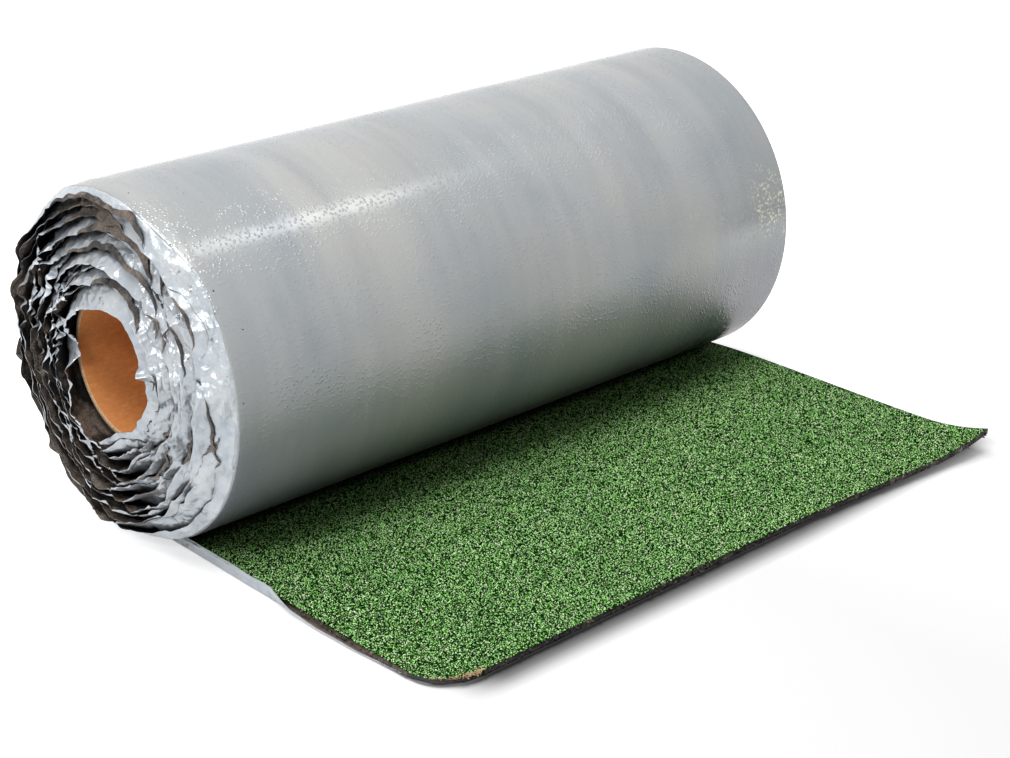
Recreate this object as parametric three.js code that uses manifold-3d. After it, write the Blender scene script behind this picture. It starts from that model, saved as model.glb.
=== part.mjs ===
// A roll of green mineral roofing felt, lying on its side with a short end unrolled in front of it.
// The felt is wound on a cardboard core with its plastic release film outwards. The film is wider than
// the felt at one end of the roll, where each turn's free edge stands out as a leaf.
// Millimetres. X is the axis of the roll, -Y the way the felt unrolls, Z up, and the floor is Z = 0.

import * as THREE from 'three';
import { mergeVertices } from 'three/addons/utils/BufferGeometryUtils.js';
import Module from 'manifold-3d';

const wasm = await Module();
wasm.setup();

// ---- Driving dimensions ----

const FELT_WIDTH = 500;          // along the roll
const FELT_THICKNESS = 3.2;
const FILM_THICKNESS = 0.5;
const CLEARANCE = 0.3;           // between the felt, the film and the core
const WRAP_SLACK = 0.35;         // air wound in between two turns
const TURNS = 14;                // whole turns of the spiral

const CORE_RADIUS = 50;          // outside of the cardboard tube
const CORE_WALL = 3.5;
const CORE_LENGTH = 500;
const CORE_SLIP = 18.4;          // how far the tube has slid out of the roll's near end
const RIM_BEVEL = 0.6;           // softened edges of the cut tube

const SLIDE = 11;                // how far the wound turns stand past the tail, towards the near end
const SLIDE_TURN = 150 / 360;    // the outermost turn slides that far in this share of itself
const TELESCOPE = 3;             // how much further the innermost turn has slid

const TAIL_LENGTH = 283.5;       // from under the roll's axis to the cut end
const TAIL_SKEW = 16;            // the cut end runs out this much more at its far corner
const CONTACT_REACH = 8;         // the roll's weight flattens it this far behind its axis
const CORNER_RADIUS = 30;        // worn near corner of the cut end
const FRONT_RISE = 2.5;          // the cut end stands off the floor
const REST_LENGTH = 200;         // the tail lies flat this far in front of the axis
const EDGE_RISE = 6.6;           // the far edge stands off the floor
const EDGE_REACH = 190;          // how far in from the far edge that is felt
const EDGE_START = 15;           // the edge leaves the floor here, in front of the axis
const EDGE_RAMP = 25;            // and comes most of the way up in this length
const CORNER_CURL = 7.7;         // extra curl of the far corner of the cut end
const CURL_REACH = 55;

const LEAF_LENGTH = 19;          // film beyond the felt at the near end of the roll
const LEAF_FOLD = 13;            // how far a leaf's free edge folds in at the front of the roll
const LEAF_FOLD_BEHIND = 10;     // and behind it
const LEAF_FOLD_AT_CORE = 0.55;  // share of that fold at the innermost leaf
const LEAF_RAGGED = 2.5;         // the leaves' free edge wanders by this much
const STRIP_WIDTH = 3.5;         // film beyond the felt along the tail
const WIDEN_TURN = 100 / 360;    // round the back it widens to a whole leaf in this share of a turn
const FOLD_START = 75 / 360;     // and the outermost leaf starts to fold here
const FOLD_END = 150 / 360;      // and is wholly folded here

const TURN_STEPS = 36;           // facets of one turn
const GROOVE_DEPTH = 4;          // the gap between turns, as seen on the far end
const GROOVE_SIDE = 0.1;         // the gap is drawn this much narrower on each side

// ---- Worked out from them ----

const FILM_STEP = FILM_THICKNESS + CLEARANCE;
const PITCH = FELT_THICKNESS + FILM_STEP + CLEARANCE + WRAP_SLACK;
const BORE_RADIUS = CORE_RADIUS + CLEARANCE;
const ROLL_RADIUS = BORE_RADIUS + (TURNS + 1) * PITCH;
const HALF_WIDTH = FELT_WIDTH / 2;
const FULL_TURN = 2 * Math.PI;
const STEP_ANGLE = FULL_TURN / TURN_STEPS;
const LEAD_ANGLE = STEP_ANGLE / 20;

const clamp01 = (value) => Math.min(1, Math.max(0, value));

// Outside of the film at an angle that starts under the axis and grows round the back of the roll.
const spiralRadius = (angle) => ROLL_RADIUS - PITCH * angle / FULL_TURN;

// A point of the roll's section, as (y, z).
const onRoll = (radius, angle) => [radius * Math.sin(angle), ROLL_RADIUS - radius * Math.cos(angle)];

// 0 at the core and 1 at the outside of the roll.
const outwardShare = (radius) => clamp01((radius - BORE_RADIUS) / (ROLL_RADIUS - BORE_RADIUS));

// How far the outermost turn has slid after this share of itself, as a share of the whole slide.
function slideShare(turn) {
  const share = clamp01(turn / SLIDE_TURN);
  return share * share * (3 - 2 * share);
}

// How far a turn inside the outermost one has slid.
const slip = (radius) => SLIDE + TELESCOPE * (1 - outwardShare(radius));

// 0 where the far edge's bend isn't felt and 1 at that edge.
const farEdgeShare = (x) => clamp01((x - HALF_WIDTH + EDGE_REACH) / EDGE_REACH);

const tailFront = (x) => -(TAIL_LENGTH + TAIL_SKEW * farEdgeShare(x) ** 1.5);

// How far the tail stands off the floor.
function tailRise(x, y) {
  const toFront = clamp01((-y - REST_LENGTH) / (-tailFront(x) - REST_LENGTH));
  const ramp = 1 - Math.exp(-Math.max(0, -y - EDGE_START) / EDGE_RAMP);
  const cornerX = clamp01((x - HALF_WIDTH + CURL_REACH) / CURL_REACH);
  const cornerY = clamp01((tailFront(x) - y + CURL_REACH) / CURL_REACH);
  const curl = CORNER_CURL * cornerX ** 2 * cornerY ** 2;
  return FRONT_RISE * toFront ** 2 + EDGE_RISE * farEdgeShare(x) ** 2 * ramp + curl;
}

// ---- Stations along the sheet and across it ----

const TAIL_SHARES = [1, 0.92, 0.83, 0.73, 0.61, 0.48, 0.35, 0.24, 0.14, 0.06, 0];
const TAIL_STEPS = TAIL_SHARES.length - 1;
const SHEET_STEPS = TAIL_STEPS + 1 + TURN_STEPS;
const ACROSS_STEPS = 6;
const ACROSS_POWER = 1.5;        // rows lie closer together towards the far edge

const acrossX = (row) => HALF_WIDTH - FELT_WIDTH * (row / ACROSS_STEPS) ** ACROSS_POWER;

// A point of the unrolled sheet and its outermost turn, which is depth inwards of the film's outside.
// The turn may stop short of its full angle.
function sheetPoint(station, x, depth, stopShort = 0) {
  if (station <= TAIL_STEPS) {
    const y = tailFront(x) * TAIL_SHARES[station];
    return [x, y, depth + tailRise(x, y)];
  }
  if (station === TAIL_STEPS + 1) {
    return [x, CONTACT_REACH, depth];
  }
  const angle = Math.min((station - TAIL_STEPS - 1) * STEP_ANGLE, FULL_TURN - stopShort);
  return [x - SLIDE * slideShare(angle / FULL_TURN), ...onRoll(spiralRadius(angle) - depth, angle)];
}

// ---- Solids from bent boxes and profiles ----

// A box of along x across x 1 cells, with each corner (i, j, k) moved to place(i, j, k).
function bentSheet(along, across, place) {
  const box = new THREE.BoxGeometry(1, 1, 1, along, across, 1);
  const corners = box.attributes.position;
  for (let n = 0; n < corners.count; n += 1) {
    const i = Math.round((corners.getX(n) + 0.5) * along);
    const j = Math.round((corners.getY(n) + 0.5) * across);
    const k = Math.round(corners.getZ(n) + 0.5);
    corners.setXYZ(n, ...place(i, j, k));
  }
  alignCreases(box);
  return box;
}

// Both faces of a bent sheet crease along the same diagonals: the lower one's are turned round.
function alignCreases(box) {
  const lower = box.groups[5];
  for (let n = lower.start; n < lower.start + lower.count; n += 6) {
    const [a, b, d, , c] = [0, 1, 2, 3, 4].map((k) => box.index.getX(n + k));
    [a, b, c, a, c, d].forEach((corner, k) => box.index.setX(n + k, corner));
  }
}

function moveVertices(geometry, move) {
  const corners = geometry.attributes.position;
  for (let n = 0; n < corners.count; n += 1) {
    corners.setXYZ(n, ...move(corners.getX(n), corners.getY(n), corners.getZ(n)));
  }
  return geometry;
}

// A section drawn in (y, z), carried along X from one end to the other.
function alongRoll(shape, fromX, toX) {
  const solid = new THREE.ExtrudeGeometry(shape, { depth: toX - fromX, steps: 1, bevelEnabled: false });
  return moveVertices(solid, (y, z, depth) => [fromX + depth, y, z]);
}

function ringPoints(radius, from, to) {
  const points = [];
  for (let n = from; n <= to; n += 1) {
    points.push(new THREE.Vector2(...onRoll(radius, n * STEP_ANGLE)));
  }
  return points;
}

function toSolid(geometry) {
  const bare = geometry.index ? geometry.clone() : geometry;
  bare.deleteAttribute('normal');
  bare.deleteAttribute('uv');
  const merged = mergeVertices(bare, 1e-4);
  return new wasm.Manifold(new wasm.Mesh({
    numProp: 3,
    vertProperties: new Float32Array(merged.attributes.position.array),
    triVerts: new Uint32Array(merged.index.array),
  }));
}

function toGeometry(solid) {
  const mesh = solid.getMesh();
  const geometry = new THREE.BufferGeometry();
  geometry.setAttribute('position', new THREE.BufferAttribute(mesh.vertProperties, 3));
  geometry.setIndex(new THREE.BufferAttribute(mesh.triVerts, 1));
  geometry.computeVertexNormals();
  return geometry;
}

// What is worn off the near corner of the cut end: all outside its round, through both layers.
function cornerCutter() {
  const x = -HALF_WIDTH + CORNER_RADIUS;
  const y = tailFront(-HALF_WIDTH) + CORNER_RADIUS;
  const reach = CORNER_RADIUS + 2 * LEAF_LENGTH;
  const shape = new THREE.Shape();
  shape.moveTo(x - reach, y - reach);
  shape.lineTo(x, y - reach);
  shape.absarc(x, y, CORNER_RADIUS, -Math.PI / 2, -Math.PI, true);
  shape.lineTo(x - reach, y);
  const height = ROLL_RADIUS / 2;
  const cutter = new THREE.ExtrudeGeometry(shape, { depth: height, curveSegments: 6, bevelEnabled: false });
  return toSolid(cutter.translate(0, 0, -height / 2));
}

// ---- Cardboard core ----

function makeCore() {
  const inner = CORE_RADIUS - CORE_WALL;
  const near = -CORE_LENGTH / 2 - CORE_SLIP;
  const far = near + CORE_LENGTH;
  const profile = [
    [inner, near + RIM_BEVEL],
    [inner + RIM_BEVEL, near],
    [CORE_RADIUS - RIM_BEVEL, near],
    [CORE_RADIUS, near + RIM_BEVEL],
    [CORE_RADIUS, far - RIM_BEVEL],
    [CORE_RADIUS - RIM_BEVEL, far],
    [inner + RIM_BEVEL, far],
    [inner, far - RIM_BEVEL],
    [inner, near + RIM_BEVEL],
  ].map(([radius, x]) => new THREE.Vector2(radius, x));
  const tube = new THREE.LatheGeometry(profile, TURN_STEPS);
  return moveVertices(tube, (b, x, a) => [x, a, ROLL_RADIUS + b]);
}

// ---- Felt: the unrolled tail, the outermost turn and the turns inside it ----

function feltSheet() {
  return toSolid(bentSheet(SHEET_STEPS, ACROSS_STEPS, (station, row, face) => (
    sheetPoint(station, acrossX(row), FILM_STEP + face * FELT_THICKNESS)
  )));
}

// A body between the core and a spiral outline, which may start a little before the full turn ends.
function woundBody(outsideAt, lead, fromX, toX) {
  const outline = [];
  for (let n = 0; n <= TURN_STEPS; n += 1) {
    const angle = n === 0 ? -lead : n * STEP_ANGLE;
    outline.push(new THREE.Vector2(...onRoll(outsideAt(n * STEP_ANGLE), angle)));
  }
  const shape = new THREE.Shape(outline);
  shape.holes.push(new THREE.Path(ringPoints(BORE_RADIUS, 0, TURN_STEPS - 1)));
  return alongRoll(shape, fromX, toX);
}

// The turns inside the outermost one, out to the felt of the next.
function innerTurns() {
  const outsideAt = (angle) => spiralRadius(angle + FULL_TURN) - FILM_STEP;
  const body = woundBody(outsideAt, LEAD_ANGLE, -HALF_WIDTH, HALF_WIDTH);
  return toSolid(moveVertices(body, (x, y, z) => [x - slip(Math.hypot(y, z - ROLL_RADIUS)), y, z]));
}

// What joins them to the outermost turn, between the groove of one end and the edge of the other.
function innerBond() {
  const outsideAt = (angle) => spiralRadius(angle) - FILM_STEP - FELT_THICKNESS / 2;
  return toSolid(woundBody(outsideAt, 0, -HALF_WIDTH + GROOVE_DEPTH, HALF_WIDTH - SLIDE - GROOVE_DEPTH));
}

// The gap between one turn and the next, sunk into the far end.
function spiralGroove() {
  const outside = FILM_STEP + FELT_THICKNESS + GROOVE_SIDE;
  const inside = PITCH + FILM_STEP - GROOVE_SIDE;
  const steps = (TURNS - 2) * TURN_STEPS;
  return toSolid(bentSheet(steps, 1, (station, side, face) => {
    const angle = FULL_TURN + (station === 0 ? -LEAD_ANGLE : station * STEP_ANGLE);
    const radius = spiralRadius(angle) - (face ? inside : outside);
    const x = HALF_WIDTH - slip(radius) + (side ? -GROOVE_DEPTH : GROOVE_DEPTH);
    return [x, ...onRoll(radius, angle)];
  }));
}

const makeFelt = (cutter) => (
  toGeometry(feltSheet().add(innerTurns()).add(innerBond()).subtract(spiralGroove()).subtract(cutter))
);

// ---- Release film: under the tail, round the outside, and a leaf beyond the felt on every turn ----

// Where the leaf of a slid turn leaves its end.
const leafRoot = (radius) => -HALF_WIDTH - slip(radius) - CLEARANCE;

// Where the free edge of a leaf stands, which takes these shares of its length and fold.
function leafTip(radius, angle, rootX, lengthShare = 1, foldShare = 1) {
  const facingFront = (1 - Math.sin(angle)) / 2;
  const fullFold = LEAF_FOLD_BEHIND + (LEAF_FOLD - LEAF_FOLD_BEHIND) * facingFront;
  const inward = LEAF_FOLD_AT_CORE + (1 - LEAF_FOLD_AT_CORE) * outwardShare(radius);
  const fold = fullFold * inward * foldShare;
  const ragged = LEAF_RAGGED * Math.sin(3.7 * angle) * Math.sin(1.3 * angle);
  const length = (LEAF_LENGTH - Math.abs(ragged)) * lengthShare;
  const reach = Math.sqrt(length ** 2 - fold ** 2);
  return [rootX - reach, ...onRoll(radius - fold, angle)];
}

function filmSheet() {
  const leafRow = ACROSS_STEPS + 1;
  const stopShort = 2 * CLEARANCE / ROLL_RADIUS;
  return toSolid(bentSheet(SHEET_STEPS, leafRow, (station, row, face) => {
    const depth = face * FILM_THICKNESS;
    if (row < ACROSS_STEPS) {
      return sheetPoint(station, acrossX(row), depth, stopShort);
    }
    const [, y, z] = sheetPoint(station, -HALF_WIDTH, depth, stopShort);
    const turned = station - TAIL_STEPS - 1;
    const angle = Math.min(turned * STEP_ANGLE, FULL_TURN - stopShort);
    const turn = turned > 0 ? angle / FULL_TURN : 0;
    const rootX = -HALF_WIDTH - SLIDE * slideShare(turn) - CLEARANCE;
    if (row === ACROSS_STEPS) {
      return [rootX, y, z];
    }
    if (turned <= 0) {
      return [rootX - STRIP_WIDTH, y, z];
    }
    const stripShare = STRIP_WIDTH / LEAF_LENGTH;
    const lengthShare = stripShare + (1 - stripShare) * clamp01(turn / WIDEN_TURN);
    const foldShare = clamp01((turn - FOLD_START) / (FOLD_END - FOLD_START));
    return leafTip(spiralRadius(angle) - depth, angle, rootX, lengthShare, foldShare);
  }));
}

// The leaves of the turns inside the outermost one. The first step lies inside the outermost leaf.
function innerLeaves() {
  const steps = (TURNS - 1) * TURN_STEPS + 1;
  return toSolid(bentSheet(steps, 1, (station, side, face) => {
    const angle = FULL_TURN + (station - 1) * STEP_ANGLE;
    const share = station === 0 ? 0.35 + 0.3 * face : face;
    const radius = spiralRadius(angle) - share * FILM_THICKNESS;
    const rootX = leafRoot(radius);
    if (side === 0) {
      return [rootX, ...onRoll(radius, angle)];
    }
    return leafTip(radius, angle, rootX);
  }));
}

function makeFilm(cutter) {
  return toGeometry(filmSheet().add(innerLeaves()).subtract(cutter));
}

// ---- Assembly ----

function addPiece(group, name, geometry, color, roughness) {
  const material = new THREE.MeshStandardMaterial({ color, roughness, metalness: 0 });
  const mesh = new THREE.Mesh(geometry, material);
  mesh.name = name;
  group.add(mesh);
}

const roll = new THREE.Group();
const wornCorner = cornerCutter();
addPiece(roll, 'core_tube', makeCore(), 0xb0703c, 0.85);
addPiece(roll, 'felt', makeFelt(wornCorner), 0x5f9655, 0.95);
addPiece(roll, 'release_film', makeFilm(wornCorner), 0xb4b9bd, 0.4);

export default roll;
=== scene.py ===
"""Looks of a roll of green mineral roofing felt with a silver release film. Metres, in the model's frame.

X is the roll's axis, with the crumpled film at the -X end; the loose end lies towards -Y; Z is up.
"""
import math

import bpy
import numpy as np
from mathutils import Matrix, Vector


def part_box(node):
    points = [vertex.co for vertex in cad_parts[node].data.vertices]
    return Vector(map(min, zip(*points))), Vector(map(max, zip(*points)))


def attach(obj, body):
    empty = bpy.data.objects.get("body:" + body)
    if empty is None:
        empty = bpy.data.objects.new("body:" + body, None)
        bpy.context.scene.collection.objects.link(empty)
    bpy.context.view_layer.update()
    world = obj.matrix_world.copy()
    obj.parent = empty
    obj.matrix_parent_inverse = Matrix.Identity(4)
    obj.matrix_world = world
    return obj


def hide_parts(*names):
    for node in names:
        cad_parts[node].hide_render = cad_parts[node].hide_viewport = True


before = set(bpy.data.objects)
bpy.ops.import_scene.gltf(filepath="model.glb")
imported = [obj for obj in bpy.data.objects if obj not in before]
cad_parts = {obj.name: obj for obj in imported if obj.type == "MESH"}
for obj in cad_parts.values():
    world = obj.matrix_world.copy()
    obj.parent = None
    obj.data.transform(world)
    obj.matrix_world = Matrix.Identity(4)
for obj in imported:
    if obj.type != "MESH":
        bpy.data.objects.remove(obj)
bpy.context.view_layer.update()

MM = 0.001

# ---- Sizes, from the frame where it has them ----

core_low, core_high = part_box("core_tube")
AXIS_Z = (core_low[2] + core_high[2]) / 2
CORE_RADIUS = (core_high[2] - core_low[2]) / 2
ROLL_RADIUS = AXIS_Z
HALF_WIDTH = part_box("felt")[1][0]

FELT_THICKNESS = 3.2 * MM
FILM_THICKNESS = 0.5 * MM
CLEARANCE = 0.3 * MM
PITCH = 4.65 * MM  # of the wound turns
TURNS = 14
CORE_WALL = 3.5 * MM
SLIDE = 11 * MM  # the outermost turn slides this far out,
SLIDE_TURN = 150 / 360  # over this part of a turn,
TELESCOPE = 3 * MM  # and the turns inside it slide on by this much in all

TAIL_LENGTH = 283.5 * MM  # of the loose end at its near side
TAIL_SKEW = 16 * MM  # the far side is longer by this
CONTACT_REACH = 8 * MM  # the sheet lies on the floor this far behind the axis
CORNER_RADIUS = 30 * MM
FRONT_RISE = 2.5 * MM  # of the cut end, from REST_LENGTH on
REST_LENGTH = 200 * MM
EDGE_RISE = 6.6 * MM  # of the far edge, over EDGE_REACH from it
EDGE_REACH = 190 * MM
EDGE_START = 15 * MM  # it starts this far from under the axis, over EDGE_RAMP
EDGE_RAMP = 25 * MM
CORNER_CURL = 7.7 * MM  # of the far corner, over CURL_REACH from it
CURL_REACH = 55 * MM

SHOULDER = 9 * MM  # the film runs this far past the felt before its crease, at the top
SHOULDER_SLOPE = 0.13

FILM_STEP = FILM_THICKNESS + CLEARANCE
DARK_CUT_FROM = -0.27  # the cut edges are dark as far back as this y: tarred on the felt and painted shade on the film
FULL_TURN = 2 * math.pi


# ---- Shape of the sheet ----

def smooth(low, high, value):
    """0 below low, 1 above high and a smooth step between."""
    t = np.clip((value - low) / (high - low), 0, 1)
    return t * t * (3 - 2 * t)


def spiral_radius(angle):
    """Outside of the film, at an angle that starts under the axis and grows round the back."""
    return ROLL_RADIUS - PITCH * angle / FULL_TURN


def slide(angle):
    """How far a turn has slid towards the near end."""
    inward = np.clip(angle / FULL_TURN - 1, 0, None) / TURNS
    return SLIDE * smooth(0, SLIDE_TURN * FULL_TURN, angle) + TELESCOPE * inward


def shoulder(angle):
    """How far the film of the outermost turn runs on past the felt before it is creased."""
    degrees = np.degrees(angle)
    return SHOULDER * smooth(135, 168, degrees) * (1 - smooth(200, 232, degrees))


def far_edge_share(x):
    """0 where the far edge's bend isn't felt and 1 at that edge."""
    return np.clip((x - HALF_WIDTH + EDGE_REACH) / EDGE_REACH, 0, 1)


def square_front(x):
    """Where the cut end would be if its near corner weren't worn."""
    return -(TAIL_LENGTH + TAIL_SKEW * far_edge_share(x) ** 1.5)


def tail_rise(x, y):
    """How far the loose end stands off the floor."""
    front = square_front(x)
    to_front = np.clip((-y - REST_LENGTH) / (-front - REST_LENGTH), 0, 1)
    ramp = 1 - np.exp(-np.clip(-y - EDGE_START, 0, None) / EDGE_RAMP)
    corner_x = np.clip((x - HALF_WIDTH + CURL_REACH) / CURL_REACH, 0, 1)
    corner_y = np.clip((front - y + CURL_REACH) / CURL_REACH, 0, 1)
    return (FRONT_RISE * to_front ** 2 + EDGE_RISE * far_edge_share(x) ** 2 * ramp
            + CORNER_CURL * corner_x ** 2 * corner_y ** 2)


def tail_front(x):
    """Where the cut end is, with its worn near corner."""
    past_corner = np.clip(-HALF_WIDTH + CORNER_RADIUS - x, 0, CORNER_RADIUS)
    return square_front(x) + CORNER_RADIUS - np.sqrt(CORNER_RADIUS ** 2 - past_corner ** 2)


def on_roll(x, radius, angle):
    """Points of the roll, as an array that ends in x, y, z."""
    x, radius, angle = np.broadcast_arrays(x, radius, angle)
    return np.stack([x, radius * np.sin(angle), AXIS_Z - radius * np.cos(angle)], axis=-1)


# ---- Making objects ----

def add_object(name, data):
    made = bpy.data.objects.new(name, data)
    bpy.context.scene.collection.objects.link(made)
    return made


def add_mesh(name, points, faces, materials, face_material=None, shade_smooth=True):
    mesh = bpy.data.meshes.new(name)
    mesh.from_pydata(np.asarray(points).reshape(-1, 3).tolist(), [], faces)
    for material in materials:
        mesh.materials.append(material)
    if face_material is not None:
        mesh.polygons.foreach_set("material_index", np.asarray(face_material, dtype=np.int32))
    mesh.polygons.foreach_set("use_smooth", np.full(len(mesh.polygons), shade_smooth))
    mesh.update()
    return add_object(name, mesh)


def quads(*corners):
    """Faces from four arrays with the numbers of their corners."""
    return np.stack(corners, axis=-1).reshape(-1, 4).tolist()


OUTSIDE, INSIDE, CUT_EDGE = range(3)


def thick_sheet(outer, inner):
    """Points, faces and the faces' kinds of a closed solid between two grids of the same shape."""
    index = np.arange(outer.size // 3).reshape(outer.shape[:2])
    corners = index[:-1, :-1], index[1:, :-1], index[1:, 1:], index[:-1, 1:]
    outside, inside = quads(*corners), quads(*(corner + index.size for corner in corners[::-1]))
    here = np.concatenate([index[:, 0], index[-1, 1:], index[-2::-1, -1], index[0, -2:0:-1]])
    there = np.roll(here, -1)
    edge = quads(there, there + index.size, here + index.size, here)
    kinds = np.repeat([OUTSIDE, INSIDE, CUT_EDGE], [len(outside), len(inside), len(edge)])
    return np.concatenate([outer.reshape(-1, 3), inner.reshape(-1, 3)]), outside + inside + edge, kinds


def tar_and_shade_cut(points, faces, kinds):
    """Which faces are on the dark stretch of the sheet's cut edge: tar on the felt, painted shade on the
    film.
    """
    return [kind == CUT_EDGE and points[face[0]][1] < DARK_CUT_FROM for face, kind in zip(faces, kinds)]


# ---- Materials ----

WHITE = (1, 1, 1)
PRICKED = (-HALF_WIDTH + 55 * MM, -HALF_WIDTH - 12 * MM)  # pin-pricks are thickest at the second x
# Centre of the patch of painted glints by the far end, and how far noise moves its edge.
GLINT_PLACE = (0.226, -0.115, 0.150)
GLINT_REACH = 32 * MM
DULL_HEIGHTS = (0.172, 0.132)  # the film is duller below these heights,
DULL_END = (0.21, 0.13)  # but for the stretch by the far end
RUBBED_HEIGHTS = (0.11, 0.05)
NIP = (-0.034, -0.052)  # the loose end is dark behind the first y and clear in front of the second

GREENS = [(0.0, (0.002, 0.006, 0.001)), (0.28, (0.004, 0.018, 0.002)), (0.36, (0.07, 0.20, 0.03)),
          (0.58, (0.19, 0.44, 0.12)), (0.82, (0.36, 0.66, 0.25)), (0.96, (0.60, 0.85, 0.46)),
          (1.0, (0.82, 0.84, 0.58))]
GRAIN_GREENS = [(0.0, (0.001, 0.012, 0.0005)), (0.16, (0.002, 0.02, 0.001)), (0.22, (0.19, 0.53, 0.09)),
                (0.5, (0.39, 0.85, 0.235)), (0.75, (0.61, 1.0, 0.43)), (0.92, (0.82, 1.0, 0.65)),
                (0.98, (0.92, 0.99, 0.78)), (1.0, (0.92, 0.86, 0.62))]


class Tree:
    """A node tree, whose sockets are fed with numbers, vectors, colours without alpha, or outputs."""

    def __init__(self, data):
        self.nodes, self.links = data.nodes, data.links

    def feed(self, node, inputs):
        for name, value in inputs.items():
            socket = node.inputs[name]
            if isinstance(value, bpy.types.NodeSocket):
                self.links.new(value, socket)
            elif socket.type == "RGBA":
                socket.default_value = (*value, 1)
            else:
                socket.default_value = value

    def add(self, kind, inputs=None, **settings):
        node = self.nodes.new("ShaderNode" + kind)
        for name, value in settings.items():
            setattr(node, name, value)
        self.feed(node, inputs or {})
        return node

    def axes(self, place):
        return self.add("SeparateXYZ", {0: place}).outputs

    def first_channel(self, color):
        return self.add("SeparateColor", {0: color}).outputs[0]

    def math(self, operation, *values):
        return self.add("Math", dict(enumerate(values)), operation=operation).outputs[0]

    def distance(self, place, centre):
        return self.add("VectorMath", {0: place, 1: centre}, operation="DISTANCE").outputs["Value"]

    def remap(self, value, start, end, to_start=0, to_end=1, shape="LINEAR"):
        inputs = {"Value": value, "From Min": start, "From Max": end, "To Min": to_start, "To Max": to_end}
        return self.add("MapRange", inputs, interpolation_type=shape).outputs["Result"]

    def ramp(self, value, stops):
        """Colour by a value. A stop is a place with a colour, or with a number for a grey."""
        stops = [(at, color if isinstance(color, tuple) else (color,) * 3) for at, color in stops]
        node = self.add("ValToRGB", {"Fac": value})
        elements = node.color_ramp.elements
        elements[0].position, elements[0].color = stops[0][0], (*stops[0][1], 1)
        elements[1].position, elements[1].color = stops[-1][0], (*stops[-1][1], 1)
        for at, color in stops[1:-1]:
            elements.new(at).color = (*color, 1)
        return node.outputs["Color"]

    def mix(self, first, second, factor, blend="MIX"):
        inputs = {0: factor, 6: first, 7: second}
        return self.add("Mix", inputs, data_type="RGBA", blend_type=blend).outputs[2]

    def multiply(self, first, second):
        return self.mix(first, second, 1, "MULTIPLY")

    def noise(self, where, scale, detail=3, roughness=0.5):
        inputs = {"Vector": where, "Scale": scale, "Detail": detail, "Roughness": roughness}
        return self.add("TexNoise", inputs).outputs["Fac"]

    def cells(self, where, scale):
        return self.add("TexVoronoi", {"Vector": where, "Scale": scale}).outputs

    def stretched(self, where, scale):
        return self.add("Mapping", {"Vector": where, "Scale": scale}).outputs["Vector"]

    def crevices(self, distance, stops):
        """Painted shade by how open the place is, from 0 in a crevice to 1 in the open."""
        node = self.add("AmbientOcclusion", {"Distance": distance}, samples=4)
        return self.ramp(node.outputs["AO"], stops)

    def bump(self, height, strength, distance, **normal):
        inputs = {"Height": height, "Strength": strength, "Distance": distance, **normal}
        return self.add("Bump", inputs).outputs["Normal"]

    def creases(self, place, scale, strength, distance, **normal):
        """Bump of flat facets between sharp creases."""
        warp = self.noise(place, scale * 0.6, 2).node.outputs["Color"]
        inputs = {0: warp, 1: (0.6 / scale,) * 3, 2: place}
        moved = self.add("VectorMath", inputs, operation="MULTIPLY_ADD").outputs["Vector"]
        return self.bump(self.cells(moved, scale)["Distance"], strength, distance, **normal)


def new_material(name, looks, *settings):
    """A material whose shader is fed with what the function `looks` gives."""
    material = bpy.data.materials.new(name)
    material.use_nodes = True
    tree = Tree(material.node_tree)
    place = tree.add("TexCoord").outputs["Object"]
    tree.feed(tree.nodes["Principled BSDF"], looks(tree, place, *settings))
    return material


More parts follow.
